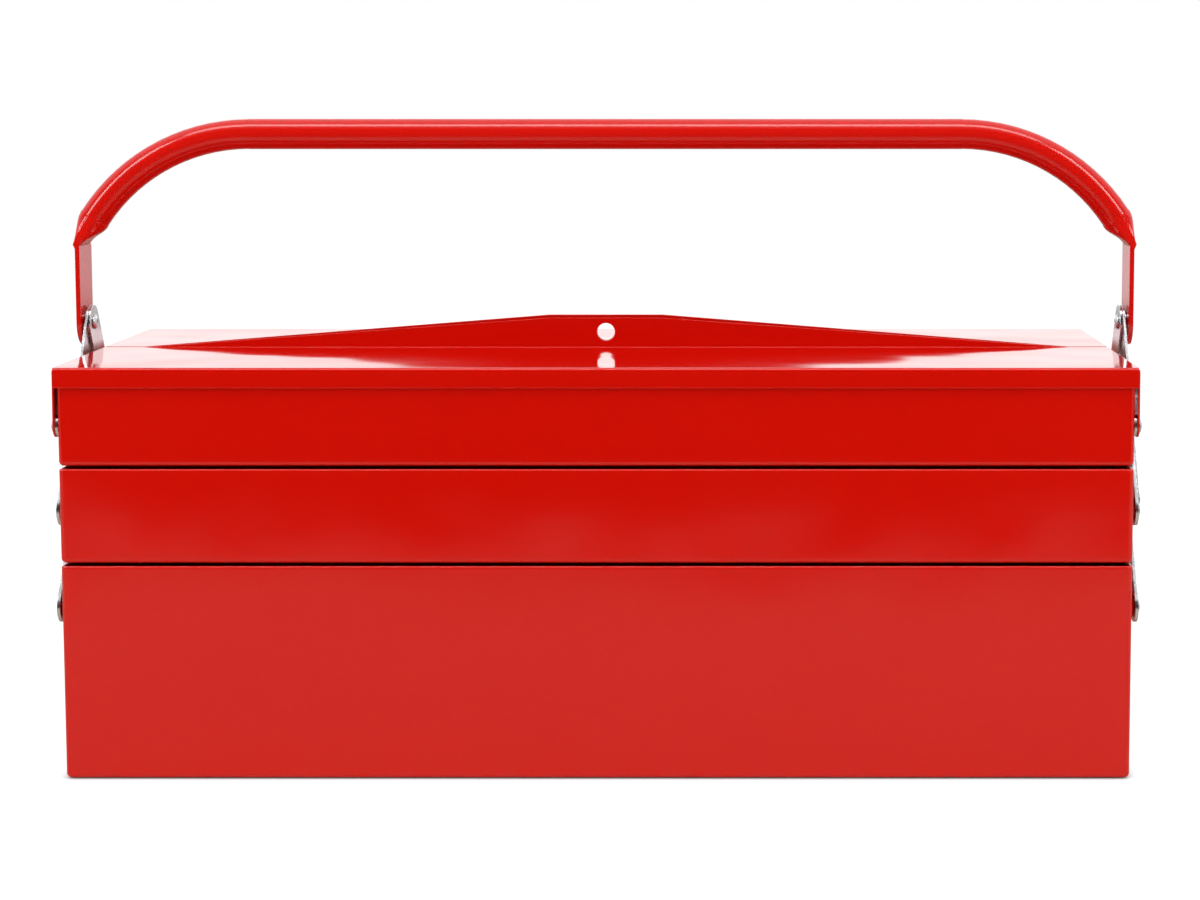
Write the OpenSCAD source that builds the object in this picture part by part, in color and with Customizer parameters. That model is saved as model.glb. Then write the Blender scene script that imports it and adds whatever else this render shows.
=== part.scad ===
// Cantilever tool box: a full-width bottom tray, two half-depth middle trays and two half-depth
// top trays with lids, carried at both ends by parallel arms and drawn together by a bail handle.
// X runs along the box, the front faces -Y, Z is up, and the box stands on z = 0.

/* [Trays] */
// Length of every tray over its end walls
tray_l = 530; // [380:1:620]
// Depth of the bottom tray over its front and back walls
box_d = 200; // [192:1:260]
// Height of the bottom tray
bottom_h = 107; // [100:1:180]
// Height of a middle or top tray
tray_h = 46.9; // [42:0.1:60]
// Space between a closed tray's floor and the rim below it
tray_gap = 1.5; // [0.6:0.1:4]
// Space between the front and the rear half trays
half_gap = 2; // [1:0.1:6]
// Thickness of the sheet steel
sheet = 0.9; // [0.7:0.05:1.4]
// Outside radius of the fold between a tray's floor and its walls
fold_r = 2.2; // [1.6:0.1:3]
// Outside radius of a tray's upright corners
corner_r = 3; // [3:0.1:8]
// Depth of the hem folded inwards along a tray's rim
hem_h = 7; // [4:0.5:12]

/* [Lids] */
// Space between a closed lid and the rim of its tray
lid_gap = 1; // [0.8:0.1:2]
// Clearance between a lid's front flange and the tray's wall
lid_fit = 0.3; // [0.2:0.05:1]
// Depth of the flange along a lid's long outer edge, from the lid's top
flange_h = 10; // [6:0.1:12]
// Outside radius of the fold along the lid's long outer edge
lid_fold_r = 1.7; // [1.4:0.1:2.5]
// Outside radius of the folds at the lid's ends
end_fold_r = 2.5; // [1.6:0.1:3]
// Overhang of the front flange beyond the tray's end wall
flange_over = 1.4; // [0.6:0.1:2]
// Distance from the lid's long outer edge to its end flanges
notch_d = 3; // [2:0.5:8]
// Space between a lid's upright inner flange and the middle of the box
ridge_gap = 1.2; // [0.6:0.1:3]
// Height of the upright flange on the front lid, above the lid's top
ridge_h = 15.7; // [12:0.1:24]
// Extra height of the rear lid's upright flange
ridge_step = 1.4; // [0:0.1:3]
// Length of the level stretch along the top of the upright flanges
ridge_flat = 60; // [30:1:160]
// Length over which the upright flanges taper down on each side
ridge_taper = 216; // [60:1:220]
// Radius of the padlock hole
lock_r = 4.7; // [3:0.1:5.5]
// Height of the padlock hole above the lid's top
lock_z = 8.2; // [7:0.1:9]
// Radius of the rounded end of a lid's ear
ear_r = 5.8; // [5.2:0.1:6.6]
// Width of a lid's ear where it leaves the end flange
ear_w = 22; // [16:1:40]
// Distance of a lid's hinge from its tray's long outer wall
hinge_in = 7; // [5.5:0.5:7]
// Depth of a lid's hinge below the lid's top
hinge_drop = 29.4; // [26:0.1:32]

/* [Linkage] */
// Distance of the bottom tray's outer pivots from the middle of the box
arm_y = 84.5; // [80:0.5:88]
// Height of the bottom tray's pivots
arm_z = 84; // [60:0.5:90]
// Distance that an arm leans inwards from one pivot to the next
arm_lean = 33; // [24:0.5:34]
// Distance between the two parallel arms
arm_pitch = 30; // [26:0.5:32]
// Width of an arm
arm_w = 16; // [13:0.5:18]
// Thickness of an arm
arm_t = 1.6; // [1.2:0.1:2.2]
// Height of the embossed bosses that carry the arms
boss_h = 2.6; // [2.4:0.1:5]
// Radius of a boss where it leaves the wall
boss_r = 7.25; // [6.5:0.05:9]
// Radius of a boss's flat top
boss_top_r = 5.4; // [5:0.1:6.4]

/* [Fastenings] */
// Radius of the rivet shanks
rivet_r = 1.9; // [1.5:0.1:2.6]
// Radius of the rivet heads
head_r = 3.8; // [3.4:0.1:4.4]
// Height of the outer rivet heads
head_t = 1.4; // [0.8:0.1:2]
// Height of the flat rivet heads inside the trays
tail_t = 1.2; // [0.6:0.1:1.6]
// Radius of the spacers between the top trays and the lids' ears
spacer_r = 5.4; // [4.8:0.1:7]
// Thickness of those spacers
spacer_t = 1.4; // [1:0.1:3]
// Radius of the collars inside the links' lower ends
collar_r = 4.8; // [4:0.1:6]
// Thickness of the collar inside a rear link
collar_t = 0.6; // [0.4:0.1:2]
// Radius of the washers between the links and the handle
washer_r = 6.3; // [5:0.1:9]
// Thickness of those washers
washer_t = 1; // [0.8:0.1:3]

/* [Handle and links] */
// Width of a handle link
link_w = 18; // [14:0.5:20]
// Thickness of a handle link
link_t = 1.2; // [1:0.1:2.5]
// Height of the handle's pivots above the lids' top
pivot_rise = 13.4; // [12:0.1:24]
// Height of the handle's tube above its pivots, centre to centre
handle_rise = 99.5; // [96:0.5:140]
// Outside diameter of the handle's tube
tube_d = 16; // [13:0.5:18]
// Wall of the handle's tube
tube_wall = 1.5; // [1:0.1:2.5]
// Bend radius of the handle's tube, to the middle of the tube
bend_r = 98.6; // [90:0.2:110]
// Width of the handle's flattened ends
strap_w = 24; // [20:0.5:28]
// Thickness of the handle's flattened ends
strap_t = 2.4; // [2.2:0.1:4]

/* [Fits] */
// Clearance between faces that slide past each other
slip = 0.15; // [0.1:0.05:0.3]
// Radial clearance between a rivet and the holes it passes
pin_fit = 0.05; // [0.02:0.01:0.1]
// Clearance between neighbouring rivet heads at the open pivots
head_fit = 0.3; // [0.2:0.05:0.6]

/* [Hidden] */
$fn = 64;
eps = 0.01;

paint = [0.78, 0.06, 0.04];
plated = [0.72, 0.72, 0.72];

// Heights and places of the trays
tray_step = tray_h + tray_gap;
mid_z = bottom_h + tray_gap;
top_z = mid_z + tray_step;
half_d = box_d / 2 - half_gap / 2;
wall_x = tray_l / 2;
lid_under = top_z + tray_h + lid_gap;
lid_top = lid_under + sheet;
lid_y = box_d / 2 + lid_fit + sheet;

// Pivots: distance from the middle of the box, and height
pivot_a = [arm_y, arm_z];
step_up = [-arm_lean, tray_step];
beside = [arm_pitch, 0];
pivot_b = pivot_a + step_up;
pivot_c = pivot_b + step_up;
lower_foot = pivot_a - beside;
lower_head = pivot_b - beside;
upper_foot = pivot_b + beside;
upper_head = pivot_c + beside;
hinge_y = box_d / 2 - hinge_in;
lid_pivot = [hinge_y, lid_top - hinge_drop];
handle_pivot = [0, lid_top + pivot_rise];

// Layers at each end of the box, outwards from a tray's end wall
ear_x = wall_x + spacer_t + slip;
boss_x = wall_x + boss_h;
arm_x = boss_x + slip;
arm_head_x = arm_x + arm_t + slip;
stub_x = arm_head_x + head_t + head_fit;
rear_link_x = stub_x + collar_t + slip;
front_link_x = rear_link_x + link_t + slip;
washer_x = front_link_x + link_t + slip;
strap_x = washer_x + washer_t + slip;
handle_head_x = strap_x + strap_t + slip;
handle_tail_x = rear_link_x - slip - head_t;

// Bent tube of the handle
tube_r = tube_d / 2;
tube_z = handle_pivot[1] + handle_rise;
bend_z = tube_z - bend_r;
flat_from = 57;
flat_to = 66;
flat_rings = 8;
flat_sides = 28;
strap_mid = strap_x + strap_t / 2;
bulge = 1;
// Swelling where the pressing starts, and the tube's half thickness left where it ends
press = 0.15;
pinch = 0.8;
// How far the pressed stretch reaches into the bend and into the strap
root_turn = 3;
root_drop = 4;
root_in = 0.5;
// How far a bend's wall lies inside the straight tube's, and reaches into it
bend_step = 0.1;
// How far each straight edge of a bar or an ear lies inside its round ends
edge_step = 0.01;
ear_step = 0.1;
bend_x = strap_mid + bulge - bend_r * sin(flat_to);
strap_top = bend_z + bend_r * cos(flat_to);

// Both ends of the box, from the end at +X
module both_ends() {
    children();
    mirror([1, 0, 0]) children();
}

// A piece made for one side and one end, placed at another: side 1 is the rear, end 1 is at +X
module place(side, end) {
    mirror([end > 0 ? 0 : 1, 0, 0]) mirror([0, side > 0 ? 0 : 1, 0]) children();
}

// Stands a cylinder along X at a pivot p, from x over length l
module along_x(p, x, l, r1, r2) {
    translate([x, p[0], p[1]]) rotate([0, 90, 0]) cylinder(h = l, r1 = r1, r2 = r2);
}

// A disc or shank along X
module disc(p, x, l, r) {
    along_x(p, x, l, r, r);
}

// Domed rivet head whose flat side is at x
module dome(p, x, r, t) {
    translate([x, p[0], p[1]]) rotate([0, 90, 0]) rotate_extrude()
        polygon([[0, 0], [r, 0], [r, 0.3 * t], [0.86 * r, 0.72 * t], [0.55 * r, t], [0, t]]);
}

// Section of a tray's wall: x runs inwards from the outer face, y is the height
module wall_section(h) {
    translate([0, fold_r]) square([sheet, h - fold_r - sheet]);
    translate([0, h - hem_h]) square([2 * sheet, hem_h - sheet]);
    translate([sheet, h - sheet]) circle(sheet);
    intersection() {
        translate([fold_r, fold_r]) difference() {
            circle(fold_r);
            circle(fold_r - sheet);
        }
        square(fold_r);
    }
    translate([fold_r, 0]) square([corner_r - fold_r + eps, sheet]);
}

// One straight wall, its outer face at y = 0 and running along X over length l
module wall_run(l, h) {
    translate([-l / 2, 0, 0]) rotate([90, 0, 90]) linear_extrude(l) wall_section(h);
}

// One upright corner, its centre at the origin, turned outwards to -X and -Y
module wall_corner(h) {
    rotate([0, 0, 180]) rotate_extrude(angle = 90) translate([corner_r, 0]) mirror([1, 0])
        intersection() {
            wall_section(h);
            square([corner_r, h]);
        }
}

// Open tray of folded sheet, length l by depth d, centred on the origin and standing on z = 0
module tray_shell(l, d, h) {
    for (turn = [0, 180]) rotate([0, 0, turn]) {
        translate([0, -d / 2, 0]) wall_run(l - 2 * corner_r, h);
        translate([-l / 2, 0, 0]) rotate([0, 0, -90]) wall_run(d - 2 * corner_r, h);
        translate([-l / 2 + corner_r, -d / 2 + corner_r, 0]) wall_corner(h);
        translate([l / 2 - corner_r, -d / 2 + corner_r, 0]) rotate([0, 0, 90]) wall_corner(h);
    }
    cube_l = l - 2 * corner_r;
    cube_d = d - 2 * corner_r;
    translate([-cube_l / 2, -cube_d / 2, 0]) cube([cube_l, cube_d, sheet]);
}

// A tray with a hollow boss pressed out of each end wall at every pivot in bossed,
// and a rivet hole there and at every pivot in drilled
module bossed_tray(y, z, d, h, bossed, drilled) {
    difference() {
        union() {
            translate([0, y, z]) tray_shell(tray_l, d, h);
            both_ends() for (p = bossed) along_x(p, wall_x - sheet / 2, boss_h + sheet / 2, boss_r, boss_top_r);
        }
        both_ends() for (p = bossed)
            along_x(p, wall_x - sheet - eps, boss_h + eps, boss_r - sheet, boss_top_r - sheet / 2);
        both_ends() for (p = concat(bossed, drilled)) disc(p, wall_x - 2, boss_h + 4, rivet_r + pin_fit);
    }
}

module bottom_tray() {
    feet = [pivot_a, lower_foot];
    rear = [for (p = feet) [-p[0], p[1]]];
    color(paint) bossed_tray(0, 0, box_d, bottom_h, concat(feet, rear), []);
}

module mid_tray(side) {
    color(paint) place(side, 1)
        bossed_tray(half_gap / 2 + half_d / 2, mid_z, half_d, tray_h, [lower_head, pivot_b, upper_foot], []);
}

module top_tray(side) {
    color(paint) place(side, 1)
        bossed_tray(half_gap / 2 + half_d / 2, top_z, half_d, tray_h, [pivot_c, upper_head], [lid_pivot]);
}

// Long outer edge of a lid: fold and flange, as a section with x towards the outside
module flange_section() {
    translate([0, -sheet]) square([eps, sheet]);
    intersection() {
        translate([0, -lid_fold_r]) difference() {
            circle(lid_fold_r);
            circle(lid_fold_r - sheet);
        }
        translate([0, -lid_fold_r]) square(lid_fold_r);
    }
    translate([lid_fold_r - sheet, -flange_h]) square([sheet, flange_h - lid_fold_r]);
}

// End of a lid: fold and flange, as a section with x towards the end
module end_section() {
    intersection() {
        translate([0, -end_fold_r]) difference() {
            circle(end_fold_r);
            circle(end_fold_r - sheet);
        }
        translate([0, -end_fold_r]) square(end_fold_r);
    }
    translate([end_fold_r - sheet, -flange_h]) square([sheet, flange_h - end_fold_r]);
}

// Ear that hangs from a lid's end flange to its hinge: a tongue with a rounded lower end
module ear() {
    top = lid_top - flange_h + sheet;
    front = lid_y - notch_d;
    cheek = ear_r - ear_step;
    difference() {
        translate([ear_x, 0, 0]) rotate([90, 0, 90]) linear_extrude(sheet) {
            translate(lid_pivot) circle(ear_r);
            polygon([[front, top], [hinge_y + cheek, lid_pivot[1]],
                     [hinge_y - cheek, lid_pivot[1]], [front - ear_w, top]]);
        }
        disc(lid_pivot, ear_x - 1, sheet + 2, rivet_r + pin_fit);
    }
}

// Outline of the upright inner flange: level in the middle and tapering to nothing
module ridge_outline(h) {
    level = ridge_flat / 2;
    foot = level + ridge_taper;
    polygon([[-foot, -sheet], [-foot, 0], [-level, h], [level, h], [foot, 0], [foot, -sheet]]);
}

// A lid, made for the rear side, with an upright inner flange of height h
module lid(h) {
    flange_x = wall_x + flange_over;
    plate_x = ear_x + sheet - end_fold_r;
    end_y = lid_y - notch_d;
    fold_y = lid_y - lid_fold_r;
    difference() {
        union() {
            translate([-flange_x, ridge_gap, lid_under]) cube([2 * flange_x, fold_y - ridge_gap, sheet]);
            translate([-plate_x, ridge_gap, lid_under]) cube([2 * plate_x, end_y - ridge_gap, sheet]);
            translate([-flange_x, fold_y, lid_top]) rotate([90, 0, 90])
                linear_extrude(2 * flange_x) flange_section();
            both_ends() translate([plate_x, end_y, lid_top]) rotate([90, 0, 0])
                linear_extrude(end_y - ridge_gap) end_section();
            translate([0, ridge_gap + sheet, lid_top]) rotate([90, 0, 0])
                linear_extrude(sheet) ridge_outline(h);
            both_ends() ear();
        }
        translate([0, 0, lid_top + lock_z]) rotate([-90, 0, 0]) cylinder(h = ridge_gap + 2 * sheet, r = lock_r);
    }
}

module lid_front() {
    color(paint) place(-1, 1) lid(ridge_h);
}

module lid_rear() {
    color(paint) lid(ridge_h + ridge_step);
}

// Flat bar with rounded ends through the pivots in list, its inner face at x
module bar(list, x, w, t) {
    from = list[0];
    span = list[len(list) - 1] - from;
    lean = atan2(span[0], span[1]);
    difference() {
        translate([x, 0, 0]) rotate([90, 0, 90]) linear_extrude(t) translate(from) {
            circle(w / 2);
            rotate(-lean) translate([edge_step - w / 2, 0]) square([w - 2 * edge_step, norm(span)]);
            translate(span) circle(w / 2);
        }
        for (p = list) disc(p, x - 1, t + 2, rivet_r + pin_fit);
    }
}

module long_arm(side, end) {
    color(plated) place(side, end) bar([pivot_a, pivot_b, pivot_c], arm_x, arm_w, arm_t);
}

module lower_arm(side, end) {
    color(plated) place(side, end) bar([lower_foot, lower_head], arm_x, arm_w, arm_t);
}

module upper_arm(side, end) {
    color(plated) place(side, end) bar([upper_foot, upper_head], arm_x, arm_w, arm_t);
}

module handle_link(side, end) {
    x = side > 0 ? rear_link_x : front_link_x;
    color(plated) place(side, end) bar([pivot_b, handle_pivot], x, link_w, link_t);
}

// Rivet that holds an arm on a boss: flat tail inside the tray, shank and domed head
module arm_rivet(p) {
    disc(p, boss_x - sheet - tail_t, tail_t, head_r - 0.2);
    disc(p, boss_x - sheet - eps, arm_head_x - boss_x + sheet + 2 * eps, rivet_r);
    dome(p, arm_head_x, head_r, head_t);
}

// Rivet that a lid turns on: flat tail inside the tray, shank and domed head
module lid_rivet() {
    disc(lid_pivot, wall_x - sheet - tail_t, tail_t, head_r);
    disc(lid_pivot, wall_x - sheet - eps, ear_x + 2 * sheet - wall_x + slip + 2 * eps, rivet_r);
    dome(lid_pivot, ear_x + sheet + slip, head_r, head_t);
}

module bottom_tray_rivets() {
    color(plated) for (side = [-1, 1], end = [-1, 1], p = [pivot_a, lower_foot])
        place(side, end) arm_rivet(p);
}

module mid_tray_rivets(side) {
    color(plated) for (end = [-1, 1], p = [lower_head, pivot_b, upper_foot])
        place(side, end) arm_rivet(p);
}

module top_tray_rivets(side) {
    color(plated) for (end = [-1, 1]) place(side, end) {
        arm_rivet(pivot_c);
        arm_rivet(upper_head);
        lid_rivet();
    }
}

// Spacers that hold the lids' ears clear of the trays
module lid_spacers(side) {
    color(plated) for (end = [-1, 1]) place(side, end) difference() {
        disc(lid_pivot, wall_x, spacer_t, spacer_r);
        disc(lid_pivot, wall_x - 1, ear_x - wall_x + 2, rivet_r + pin_fit);
    }
}

// Rivets at the links' lower ends: a collar inside the link, a shank and a domed head
module link_rivets(side) {
    x = side > 0 ? rear_link_x : front_link_x;
    color(plated) for (end = [-1, 1]) place(side, end) {
        disc(pivot_b, stub_x, x - slip - stub_x, collar_r);
        disc(pivot_b, x - slip - eps, link_t + 2 * slip + 2 * eps, rivet_r);
        dome(pivot_b, x + link_t + slip, head_r, head_t);
    }
}

// Hollow rivet through both links, the washer and the handle's flattened end
module handle_rivet(end) {
    color(plated) place(1, end) difference() {
        union() {
            mirror([1, 0, 0]) dome(handle_pivot, -handle_tail_x - head_t, head_r, head_t);
            disc(handle_pivot, handle_tail_x + head_t - eps,
                 handle_head_x - handle_tail_x - head_t + 2 * eps, rivet_r);
            dome(handle_pivot, handle_head_x, head_r, head_t);
        }
        disc(handle_pivot, handle_tail_x - 1, 1 + head_t * 0.7, rivet_r * 0.6);
    }
}

module handle_washer(end) {
    color(plated) place(1, end) difference() {
        disc(handle_pivot, washer_x, washer_t, washer_r);
        disc(handle_pivot, washer_x - 1, washer_t + 2, rivet_r + pin_fit);
    }
}

// Share of the way from round tube to flat strap at ring k, easing in and out
function flat_share(k) = let (s = min(1, max(0, k - 1) / (flat_rings - 1))) s * s * (3 - 2 * s);

// Middle of ring k and the direction across it, as [x, z, across_x, across_z]
function flat_frame(k) = k > flat_rings
    ? [strap_mid, strap_top - root_drop, 1, 0]
    : let (a = k == 0 ? flat_from - root_turn
                      : flat_from + (flat_to - flat_from) * (k - 1) / (flat_rings - 1))
      [bend_x + bend_r * sin(a), bend_z + bend_r * cos(a), sin(a), cos(a)];

// Half sizes of ring k, across the strap and along it: the first and last rings are hidden
function flat_size(k) = k == 0
    ? [tube_r - tube_wall / 2, tube_r - tube_wall / 2]
    : k > flat_rings
    ? [strap_t / 2 - root_in, strap_w / 2 - 2 * root_in]
    : let (s = flat_share(k))
      [(tube_r + press) * (1 - s) + (strap_t / 2 + pinch) * s,
       (tube_r + press) * (1 - s) + (strap_w / 2 - root_in) * s];

// Point j of ring k: an ellipse that squares up as the tube flattens
function flat_point(k, j) =
    let (f = flat_frame(k),
         size = flat_size(k),
         power = 1 - 0.7 * flat_share(k),
         c = cos(360 * j / flat_sides),
         n = sin(360 * j / flat_sides),
         u = size[0] * sign(c) * pow(abs(c), power),
         v = size[1] * sign(n) * pow(abs(n), power))
    [f[0] + u * f[2], v, f[1] + u * f[3]];

// Stretch in which the tube is pressed flat
module flattening() {
    rings = flat_rings + 2;
    points = [for (k = [0 : rings - 1], j = [0 : flat_sides - 1]) flat_point(k, j)];
    function at(k, j) = k * flat_sides + j % flat_sides;
    sides = [for (k = [0 : rings - 2], j = [0 : flat_sides - 1], half = [0, 1])
        half == 0 ? [at(k, j), at(k, j + 1), at(k + 1, j)]
                  : [at(k, j + 1), at(k + 1, j + 1), at(k + 1, j)]];
    first = [for (j = [flat_sides - 1 : -1 : 0]) at(0, j)];
    last = [for (j = [0 : flat_sides - 1]) at(rings - 1, j)];
    polyhedron(points, concat(sides, [first, last]), convexity = 4);
}

// Flattened end below the bend, rounded about the pivot
module strap() {
    difference() {
        translate([strap_x, 0, 0]) rotate([90, 0, 90]) linear_extrude(strap_t) {
            translate(handle_pivot) circle(strap_w / 2);
            translate([-strap_w / 2, handle_pivot[1]]) square([strap_w, strap_top - handle_pivot[1]]);
        }
        disc(handle_pivot, strap_x - 1, strap_t + 2, rivet_r + pin_fit);
    }
}

// Bail handle: one tube, bent at both ends, pressed flat and drilled
module handle() {
    grip = bend_x + bend_step;
    color(paint) {
        translate([-grip, 0, tube_z]) rotate([0, 90, 0]) difference() {
            cylinder(h = 2 * grip, r = tube_r);
            translate([0, 0, -1]) cylinder(h = 2 * grip + 2, r = tube_r - tube_wall);
        }
        both_ends() {
            translate([bend_x, 0, bend_z]) rotate([90, 0, 0]) rotate([0, 0, 90 - flat_from])
                rotate_extrude(angle = flat_from) translate([bend_r, 0]) difference() {
                    circle(tube_r - bend_step);
                    circle(tube_r - tube_wall + bend_step);
                }
            flattening();
            strap();
        }
    }
}

bottom_tray();
mid_tray(-1);  // mid_tray_front
mid_tray(1);  // mid_tray_rear
top_tray(-1);  // top_tray_front
top_tray(1);  // top_tray_rear
lid_front();
lid_rear();
handle();
long_arm(-1, -1);  // long_arm_front_left
long_arm(-1, 1);  // long_arm_front_right
long_arm(1, -1);  // long_arm_rear_left
long_arm(1, 1);  // long_arm_rear_right
lower_arm(-1, -1);  // lower_arm_front_left
lower_arm(-1, 1);  // lower_arm_front_right
lower_arm(1, -1);  // lower_arm_rear_left
lower_arm(1, 1);  // lower_arm_rear_right
upper_arm(-1, -1);  // upper_arm_front_left
upper_arm(-1, 1);  // upper_arm_front_right
upper_arm(1, -1);  // upper_arm_rear_left
upper_arm(1, 1);  // upper_arm_rear_right
handle_link(-1, -1);  // handle_link_front_left
handle_link(-1, 1);  // handle_link_front_right
handle_link(1, -1);  // handle_link_rear_left
handle_link(1, 1);  // handle_link_rear_right
handle_rivet(-1);  // handle_rivet_left
handle_rivet(1);  // handle_rivet_right
handle_washer(-1);  // handle_washer_left
handle_washer(1);  // handle_washer_right
link_rivets(-1);  // link_rivets_front
link_rivets(1);  // link_rivets_rear
bottom_tray_rivets();
mid_tray_rivets(-1);  // mid_tray_rivets_front
mid_tray_rivets(1);  // mid_tray_rivets_rear
top_tray_rivets(-1);  // top_tray_rivets_front
top_tray_rivets(1);  // top_tray_rivets_rear
lid_spacers(-1);  // lid_spacers_front
lid_spacers(1);  // lid_spacers_rear
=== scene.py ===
# %% [markdown]
# # A cantilever tool box in red enamel and plated steel
#
# The real object is folded from thin sheet steel: one deep tray at the bottom, four half-depth
# trays above it, two lids, and at each end a fan of flat arms that carries the trays outwards when
# the box opens. A bent tube is its handle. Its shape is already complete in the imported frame, so
# this lesson is about surfaces and light: a hard red enamel, a thin layer of bright zinc on the
# arms and rivets, and a white studio.

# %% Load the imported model
import math
import bpy
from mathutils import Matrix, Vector

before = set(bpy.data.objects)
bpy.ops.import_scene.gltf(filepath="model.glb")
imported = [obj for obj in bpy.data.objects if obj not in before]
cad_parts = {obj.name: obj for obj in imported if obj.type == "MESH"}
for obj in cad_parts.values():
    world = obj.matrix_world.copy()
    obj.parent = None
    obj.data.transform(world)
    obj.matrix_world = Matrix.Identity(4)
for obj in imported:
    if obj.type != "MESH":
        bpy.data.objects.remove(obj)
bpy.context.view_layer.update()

# %% [markdown]
# The pieces come in two finishes. The trays, the lids and the handle are painted. All the small
# parts of the linkage are plated, and each has one of five words in its name, so those words are
# enough to sort the two.

# %% Sort the pieces by finish
PLATED_WORDS = ("rivet", "washer", "link", "arm", "spacer")


def is_plated(name):
    return any(word in name for word in PLATED_WORDS)


painted = [piece for name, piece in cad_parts.items() if not is_plated(name)]
plated = [piece for name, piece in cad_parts.items() if is_plated(name)]
print("painted:", sorted(piece.name for piece in painted))
print("plated:", len(plated), "pieces")

# %% [markdown]
# Every material below is wired from nodes, so four small helpers come first. They add a node with
# its settings and socket values, start a group with named sockets, place such a group, and start a
# material with a plain Principled shader in it.


# %% Helpers for node wiring
def add_node(tree, kind, sockets=(), **settings):
    node = tree.nodes.new(kind)
    for name, value in settings.items():
        setattr(node, name, value)
    for socket, value in dict(sockets).items():
        node.inputs[socket].default_value = value
    return node


def new_group(name, inputs, outputs):
    group = bpy.data.node_groups.new(name, "ShaderNodeTree")
    for label in inputs:
        group.interface.new_socket(label, in_out="INPUT", socket_type="NodeSocketFloat")
    for label, kind in outputs:
        group.interface.new_socket(label, in_out="OUTPUT", socket_type=kind)
    return group, group.nodes.new("NodeGroupInput"), group.nodes.new("NodeGroupOutput")


def place_group(tree, group, **values):
    node = add_node(tree, "ShaderNodeGroup", node_tree=group)
    for name, value in values.items():
        node.inputs[name.replace("_", " ").capitalize()].default_value = value
    return node


def new_material(name):
    material = bpy.data.materials.new(name)
    material.use_nodes = True
    tree = material.node_tree
    return material, tree, tree.nodes["Principled BSDF"]


print("helpers ready")

# %% [markdown]
# No folded edge is perfectly sharp. The Bevel node bends the shading normal near an edge as if
# it were rounded, which draws the thin bright line that real sheet metal shows there. Comparing
# that bent normal with the true one also gives a mask of the edges, for polish on the zinc and for
# a painted highlight that lightens the red enamel there.

# %% Group: soft edges
BEVEL_SAMPLES = 6

soft_edges, gin, gout = new_group(
    "soft edges",
    ["Radius", "Contrast"],
    [("Normal", "NodeSocketVector"), ("Edge", "NodeSocketFloat")],
)
bevel = add_node(soft_edges, "ShaderNodeBevel", samples=BEVEL_SAMPLES)
geometry = add_node(soft_edges, "ShaderNodeNewGeometry")
likeness = add_node(soft_edges, "ShaderNodeVectorMath", operation="DOT_PRODUCT")
turn = add_node(soft_edges, "ShaderNodeMath", {0: 1.0}, operation="SUBTRACT")
mask = add_node(soft_edges, "ShaderNodeMath", operation="MULTIPLY", use_clamp=True)
link = soft_edges.links.new
link(gin.outputs["Radius"], bevel.inputs["Radius"])
link(bevel.outputs[0], likeness.inputs[0])
link(geometry.outputs["Normal"], likeness.inputs[1])
link(likeness.outputs["Value"], turn.inputs[1])
link(turn.outputs[0], mask.inputs[0])
link(gin.outputs["Contrast"], mask.inputs[1])
link(bevel.outputs[0], gout.inputs["Normal"])
link(mask.outputs[0], gout.inputs["Edge"])
print("group:", soft_edges.name)

# %% [markdown]
# A sprayed and baked finish is never optically flat: it has the fine dimples called orange
# peel, and the sheet under it waves slightly. Both are noise of different sizes, so one group
# adds them into a height, and gives a slow variation for colour and roughness as well.

# %% Group: surface waviness
DIMPLE_DETAIL = 1.0
WAVE_DETAIL = 2.0

waviness, gin, gout = new_group(
    "surface waviness",
    ["Dimple size", "Dimple depth", "Wave size", "Wave depth"],
    [("Height", "NodeSocketFloat"), ("Variation", "NodeSocketFloat")],
)
coordinates = add_node(waviness, "ShaderNodeTexCoord")
link = waviness.links.new


def noise_of_size(tree, place, size, detail):
    frequency = add_node(tree, "ShaderNodeMath", {0: 1.0}, operation="DIVIDE")
    noise = add_node(tree, "ShaderNodeTexNoise", {"Detail": detail})
    tree.links.new(size, frequency.inputs[1])
    tree.links.new(frequency.outputs[0], noise.inputs["Scale"])
    tree.links.new(place, noise.inputs["Vector"])
    return noise


place = coordinates.outputs["Object"]
dimples = noise_of_size(waviness, place, gin.outputs["Dimple size"], DIMPLE_DETAIL)
waves = noise_of_size(waviness, place, gin.outputs["Wave size"], WAVE_DETAIL)
dimple_height = add_node(waviness, "ShaderNodeMath", operation="MULTIPLY")
height = add_node(waviness, "ShaderNodeMath", operation="MULTIPLY_ADD")
link(dimples.outputs["Fac"], dimple_height.inputs[0])
link(gin.outputs["Dimple depth"], dimple_height.inputs[1])
link(waves.outputs["Fac"], height.inputs[0])
link(gin.outputs["Wave depth"], height.inputs[1])
link(dimple_height.outputs[0], height.inputs[2])
link(height.outputs[0], gout.inputs["Height"])
link(waves.outputs["Fac"], gout.inputs["Variation"])
print("group:", waviness.name)

# %% [markdown]
# The materials also mix colours and map one range of numbers to another. The Mix node keeps its
# own pair of sockets for each kind of data, all under the same labels, so they are picked by
# number, and names for those numbers make the wiring readable.

# %% Helpers for mixing and mapping
MIX_FACTOR = 0
NUMBER_A, NUMBER_B, NUMBER_OUT = 2, 3, 0
COLOUR_A, COLOUR_B, COLOUR_OUT = 6, 7, 2


def add_colour_mix(tree, sockets):
    return add_node(tree, "ShaderNodeMix", sockets, data_type="RGBA")


def add_number_mix(tree, sockets):
    return add_node(tree, "ShaderNodeMix", sockets, data_type="FLOAT")


def add_range(tree, source, target, **settings):
    labels = ("From Min", "From Max", "To Min", "To Max")
    return add_node(tree, "ShaderNodeMapRange", zip(labels, source + target), **settings)


print("mixing and mapping ready")

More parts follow.
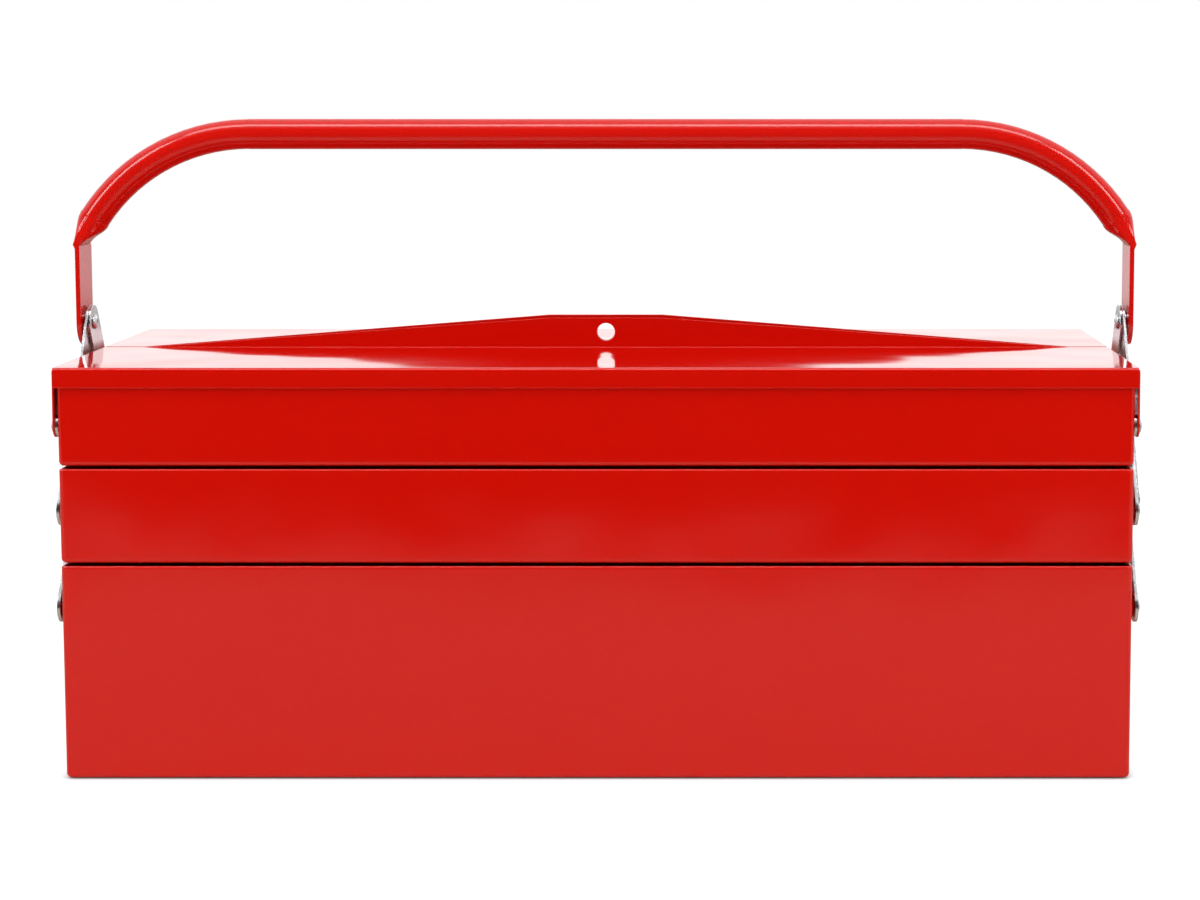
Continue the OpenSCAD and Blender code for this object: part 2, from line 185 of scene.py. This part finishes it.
# %% [markdown]
# The enamel is a saturated warm red with a hard gloss. One glossy layer over the pigment is
# enough for it, and the bump then waves the mirror images as thin sheet does. A separate coat
# would stay flat, because it ignores the normal below it. Seen at a low angle the gloss turns
# almost white, as the lids do. The handle is mostly round tube, with no folds to soften and
# hardly any waves, so its paint leaves out the soft edges, and has less bump and a slightly
# softer gloss.

# %% Material: red enamel
RED = (0.575, 0.0042, 0.0008, 1.0)
RED_DEEP = (0.56, 0.0036, 0.0006, 1.0)
# lighter red at folded edges: a painted highlight
RED_PAINTED_HIGHLIGHT = (0.72, 0.022, 0.012, 1.0)
ENAMEL_IOR = 1.5
PEEL_SIZE = 0.0022
WAVE_SIZE = 0.14
ENAMEL_EDGE_CONTRAST = 2.5
ENAMEL_BUMP = {"Strength": 1.0, "Distance": 0.0001}


def make_enamel(name, edge_radius, peel_depth, wave_depth, gloss_range):
    enamel, tree, shader = new_material(name)
    shader.inputs["IOR"].default_value = ENAMEL_IOR
    peel = place_group(
        tree, waviness, dimple_size=PEEL_SIZE, dimple_depth=peel_depth, wave_size=WAVE_SIZE,
        wave_depth=wave_depth,
    )
    tone = add_colour_mix(tree, {COLOUR_A: RED_DEEP, COLOUR_B: RED})
    # mixes in the painted edge highlight where the soft-edge mask says so
    painted_edge_highlight = add_colour_mix(tree, {MIX_FACTOR: 0.0, COLOUR_B: RED_PAINTED_HIGHLIGHT})
    gloss = add_range(tree, (0.0, 1.0), gloss_range)
    bump = add_node(tree, "ShaderNodeBump", ENAMEL_BUMP)
    link = tree.links.new
    link(peel.outputs["Variation"], tone.inputs[MIX_FACTOR])
    link(tone.outputs[COLOUR_OUT], painted_edge_highlight.inputs[COLOUR_A])
    link(painted_edge_highlight.outputs[COLOUR_OUT], shader.inputs["Base Color"])
    link(peel.outputs["Variation"], gloss.inputs["Value"])
    link(gloss.outputs[0], shader.inputs["Roughness"])
    link(peel.outputs["Height"], bump.inputs["Height"])
    link(bump.outputs[0], shader.inputs["Normal"])
    if edge_radius > 0:
        edges = place_group(tree, soft_edges, radius=edge_radius, contrast=ENAMEL_EDGE_CONTRAST)
        link(edges.outputs["Edge"], painted_edge_highlight.inputs[MIX_FACTOR])
        link(edges.outputs["Normal"], bump.inputs["Normal"])
    print("material:", enamel.name)
    return enamel


sheet_enamel = make_enamel(
    "red_enamel_sheet", edge_radius=0.0007, peel_depth=0.02, wave_depth=30.0,
    gloss_range=(0.05, 0.12),
)
tube_enamel = make_enamel(
    "red_enamel_tube", edge_radius=0.0, peel_depth=0.01, wave_depth=0.5,
    gloss_range=(0.12, 0.18),
)

# %% [markdown]
# The arms, links and rivets are mild steel with a thin zinc plating: a cool pale grey in fine
# uneven patches, polished at the stamped edges. It is a metal, so its colour is in the
# reflection, and the patches show in the colour, the roughness and the bump.

# %% Material: zinc plate
ZINC = (0.68, 0.69, 0.71, 1.0)
ZINC_DULL = (0.60, 0.61, 0.64, 1.0)
ZINC_POLISHED = (0.90, 0.91, 0.93, 1.0)
ZINC_EDGE_RADIUS = 0.0004
ZINC_EDGE_CONTRAST = 3.0
PATCHES = {"dimple_size": 0.0006, "dimple_depth": 0.3, "wave_size": 0.006, "wave_depth": 0.6}
PATCHES_TO_TONE = ((0.35, 0.6), (0.0, 1.0))
PATCHES_TO_ROUGHNESS = ((0.3, 0.7), (0.22, 0.3))
ZINC_BUMP = {"Strength": 0.35, "Distance": 0.00005}

zinc, tree, shader = new_material("bright_zinc")
shader.inputs["Metallic"].default_value = 1.0
edges = place_group(tree, soft_edges, radius=ZINC_EDGE_RADIUS, contrast=ZINC_EDGE_CONTRAST)
patches = place_group(tree, waviness, **PATCHES)
tone = add_colour_mix(tree, {COLOUR_A: ZINC_DULL, COLOUR_B: ZINC})
polish = add_colour_mix(tree, {COLOUR_B: ZINC_POLISHED})
gloss = add_range(tree, *PATCHES_TO_ROUGHNESS)
spread = add_range(tree, *PATCHES_TO_TONE)
bump = add_node(tree, "ShaderNodeBump", ZINC_BUMP)
link = tree.links.new
link(patches.outputs["Variation"], spread.inputs["Value"])
link(spread.outputs[0], tone.inputs[MIX_FACTOR])
link(tone.outputs[COLOUR_OUT], polish.inputs[COLOUR_A])
link(edges.outputs["Edge"], polish.inputs[MIX_FACTOR])
link(polish.outputs[COLOUR_OUT], shader.inputs["Base Color"])
link(patches.outputs["Variation"], gloss.inputs["Value"])
link(gloss.outputs[0], shader.inputs["Roughness"])
link(patches.outputs["Height"], bump.inputs["Height"])
link(edges.outputs["Normal"], bump.inputs["Normal"])
link(bump.outputs[0], shader.inputs["Normal"])
print("material:", zinc.name)

# %% [markdown]
# Each piece was finished by itself before the box was put together, so it has one finish all
# over. One material covers it whole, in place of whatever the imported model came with.


# %% Put the finishes on the pieces
def finish_with(pieces, material):
    for piece in pieces:
        piece.data.materials.clear()
        piece.data.materials.append(material)


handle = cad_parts["handle"]
finish_with([piece for piece in painted if piece != handle], sheet_enamel)
finish_with([handle], tube_enamel)
finish_with(plated, zinc)
print("finished", len(painted), "painted and", len(plated), "plated pieces")

# %% [markdown]
# The studio is white, and its floor shows itself in three ways. To the camera it glows almost
# white, with a little real shading on top. Ambient occlusion takes the glow away within a few
# millimetres of the box, a painted contact shadow that draws the thin dark line of contact. To
# glossy surfaces it is a warm grey that takes the lights' real shading; its warmth is painted red
# light, standing in for what the box throws onto the floor. It fades to black towards its front
# edge, so that the faces don't mirror that edge as a line. Every other ray meets matte white
# paper.

# %% Floor
FLOOR_HALF = 2.6
FLOOR_FRONT = -1.1
FLOOR_LOWERED = 0.0004
PAPER = (0.8, 0.8, 0.8, 1.0)
PAPER_TO_CAMERA = (0.3, 0.3, 0.3, 1.0)
# the warm tint is painted red light, as if thrown by the box onto the floor
PAPER_TO_GLOSS = (0.51, 0.46, 0.39, 1.0)
BLACK = (0.0, 0.0, 0.0, 1.0)
GLOW_STRENGTH = 0.86
GLOSS_FADE_Y = (-1.0, -0.45)
CONTACT_REACH = 0.006
CONTACT_SAMPLES = 8

floor_mesh = bpy.data.meshes.new("floor")
floor_mesh.from_pydata(
    [(-FLOOR_HALF, FLOOR_FRONT, 0), (FLOOR_HALF, FLOOR_FRONT, 0),
     (FLOOR_HALF, FLOOR_HALF, 0), (-FLOOR_HALF, FLOOR_HALF, 0)],
    [], [(0, 1, 2, 3)],
)
floor = bpy.data.objects.new("floor", floor_mesh)
floor.location.z = -FLOOR_LOWERED
bpy.context.scene.collection.objects.link(floor)

paper, tree, shader = new_material("paper")
tree.nodes.remove(shader)
output = tree.nodes["Material Output"]
path = add_node(tree, "ShaderNodeLightPath")
matte = add_node(tree, "ShaderNodeBsdfDiffuse", {"Color": PAPER})
dim = add_node(tree, "ShaderNodeBsdfDiffuse", {"Color": PAPER_TO_CAMERA})
# painted contact shadow: ambient occlusion dims the floor's glow next to the box
contact_shadow = add_node(
    tree, "ShaderNodeAmbientOcclusion", {"Distance": CONTACT_REACH}, samples=CONTACT_SAMPLES
)
shaded = add_node(tree, "ShaderNodeMath", {1: GLOW_STRENGTH}, operation="MULTIPLY")
glow = add_node(tree, "ShaderNodeEmission")
lit = add_node(tree, "ShaderNodeAddShader")
coordinates = add_node(tree, "ShaderNodeTexCoord")
split = add_node(tree, "ShaderNodeSeparateXYZ")
fade = add_range(tree, GLOSS_FADE_Y, (0.0, 1.0), interpolation_type="SMOOTHSTEP")
faded = add_colour_mix(tree, {COLOUR_A: BLACK, COLOUR_B: PAPER_TO_GLOSS})
reflected = add_node(tree, "ShaderNodeBsdfDiffuse")
to_gloss = add_node(tree, "ShaderNodeMixShader")
to_camera = add_node(tree, "ShaderNodeMixShader")
link = tree.links.new
link(contact_shadow.outputs["AO"], shaded.inputs[0])
link(shaded.outputs[0], glow.inputs["Strength"])
link(dim.outputs[0], lit.inputs[0])
link(glow.outputs[0], lit.inputs[1])
link(coordinates.outputs["Object"], split.inputs[0])
link(split.outputs["Y"], fade.inputs["Value"])
link(fade.outputs[0], faded.inputs[MIX_FACTOR])
link(faded.outputs[COLOUR_OUT], reflected.inputs["Color"])
link(path.outputs["Is Glossy Ray"], to_gloss.inputs[0])
link(matte.outputs[0], to_gloss.inputs[1])
link(reflected.outputs[0], to_gloss.inputs[2])
link(path.outputs["Is Camera Ray"], to_camera.inputs[0])
link(to_gloss.outputs[0], to_camera.inputs[1])
link(lit.outputs[0], to_camera.inputs[2])
link(to_camera.outputs[0], output.inputs["Surface"])
floor.data.materials.append(paper)
print("floor from y =", FLOOR_FRONT, "to", FLOOR_HALF)

# %% [markdown]
# The world plays the rest of the studio. The camera sees it plain white. Glossy surfaces see a
# white backdrop behind the box, a dimmer one high above it, and the unlit room in front, which
# keeps the front faces deep red. The ray's own direction says which of them it meets, the
# borders are wide and soft, and the brighter backdrop counts where the two overlap. Other
# surfaces get an even half-light from all round.

# %% World
WHITE = (1.0, 1.0, 1.0, 1.0)
CAMERA_LEVEL = 1.0
AMBIENT_LEVEL = 0.45
BACKDROP_Y = (-0.35, 0.05)
BACKDROP_LEVELS = (0.01, 1.0)
OVERHEAD_Z = (0.55, 0.9)
OVERHEAD_LEVELS = (0.0, 0.7)

world = bpy.data.worlds.new("studio")
bpy.context.scene.world = world
world.use_nodes = True
tree = world.node_tree
sky = tree.nodes["Background"]
sky.inputs["Color"].default_value = WHITE
path = add_node(tree, "ShaderNodeLightPath")
coordinates = add_node(tree, "ShaderNodeTexCoord")
split = add_node(tree, "ShaderNodeSeparateXYZ")
behind = add_range(tree, BACKDROP_Y, BACKDROP_LEVELS, interpolation_type="SMOOTHSTEP")
above = add_range(tree, OVERHEAD_Z, OVERHEAD_LEVELS, interpolation_type="SMOOTHSTEP")
brighter = add_node(tree, "ShaderNodeMath", operation="MAXIMUM")
unless_gloss = add_number_mix(tree, {NUMBER_A: AMBIENT_LEVEL})
unless_camera = add_number_mix(tree, {NUMBER_B: CAMERA_LEVEL})
link = tree.links.new
link(coordinates.outputs["Generated"], split.inputs[0])
link(split.outputs["Y"], behind.inputs["Value"])
link(split.outputs["Z"], above.inputs["Value"])
link(behind.outputs[0], brighter.inputs[0])
link(above.outputs[0], brighter.inputs[1])
link(path.outputs["Is Glossy Ray"], unless_gloss.inputs[MIX_FACTOR])
link(brighter.outputs[0], unless_gloss.inputs[NUMBER_B])
link(unless_gloss.outputs[NUMBER_OUT], unless_camera.inputs[NUMBER_A])
link(path.outputs["Is Camera Ray"], unless_camera.inputs[MIX_FACTOR])
link(unless_camera.outputs[NUMBER_OUT], sky.inputs["Strength"])
print("world:", world.name)

# %% [markdown]
# Five soft lights shape the box. A long bank overhead draws the bright line along the handle. A
# tall bank stands in front at each side, and a wide one far behind lights the lids at a low
# angle. A weak wide one in front evens out the front faces, and it is kept out of the
# reflections, as a studio hand would flag it off. No light shows itself to the camera.


# %% Lights
def soft_light(name, place, target, size, watts, in_gloss=True):
    data = bpy.data.lights.new(name, "AREA")
    data.shape = "RECTANGLE"
    data.size, data.size_y = size
    data.energy = watts
    light = bpy.data.objects.new(name, data)
    light.location = place
    aim = Vector(target) - Vector(place)
    light.rotation_euler = aim.to_track_quat("-Z", "Y").to_euler()
    light.visible_camera = False
    light.visible_glossy = in_gloss
    bpy.context.scene.collection.objects.link(light)


soft_light(
    "overhead_bank", place=(0.0, -0.45, 1.55), target=(0.0, -0.05, 0.2), size=(1.9, 0.35),
    watts=13.0,
)
for side, x in (("left", -1.35), ("right", 1.35)):
    soft_light(
        "side_bank_" + side, place=(x, -0.85, 0.95), target=(0.0, 0.0, 0.25), size=(0.3, 1.3),
        watts=10.5,
    )
soft_light(
    "back_bank", place=(0.0, 2.4, 0.75), target=(0.0, 0.0, 0.2), size=(3.2, 0.9), watts=4.0,
)
soft_light(
    "front_bank", place=(0.1, -2.6, 1.1), target=(0.0, 0.0, 0.15), size=(2.4, 1.4), watts=2.0,
    in_gloss=False,
)

# %% [markdown]
# The camera stands a little to the right of the middle and higher than the lids, looks slightly
# down, and uses a long lens, so the front stays square and the lids show as a thin band. A small
# lens shift places the box in the frame without tilting its upright edges any more.

# %% Camera
SENSOR_MM = 36.0
IMAGE_W, IMAGE_H = 1200, 900
FOCAL_PX = 2386.3
CENTRE_PX = (730.5, 315.4)
TILT = math.radians(5.16)
CAMERA_PLACE = (0.0661, -1.2628, 0.3365)
CLIP_NEAR, CLIP_FAR = 0.05, 20

camera_data = bpy.data.cameras.new("camera")
camera_data.sensor_width = SENSOR_MM
camera_data.lens = FOCAL_PX / IMAGE_W * SENSOR_MM
camera_data.shift_x = (IMAGE_W / 2 - CENTRE_PX[0]) / IMAGE_W
camera_data.shift_y = (CENTRE_PX[1] - IMAGE_H / 2) / IMAGE_W
camera_data.clip_start, camera_data.clip_end = CLIP_NEAR, CLIP_FAR
camera = bpy.data.objects.new("camera", camera_data)
camera.location = CAMERA_PLACE
camera.rotation_euler = (math.pi / 2 - TILT, 0, 0)
bpy.context.scene.collection.objects.link(camera)
bpy.context.scene.camera = camera
bpy.context.scene.view_settings.view_transform = "Standard"
print("lens", round(camera_data.lens, 2), "mm, shift", round(camera_data.shift_x, 3),
      round(camera_data.shift_y, 3))
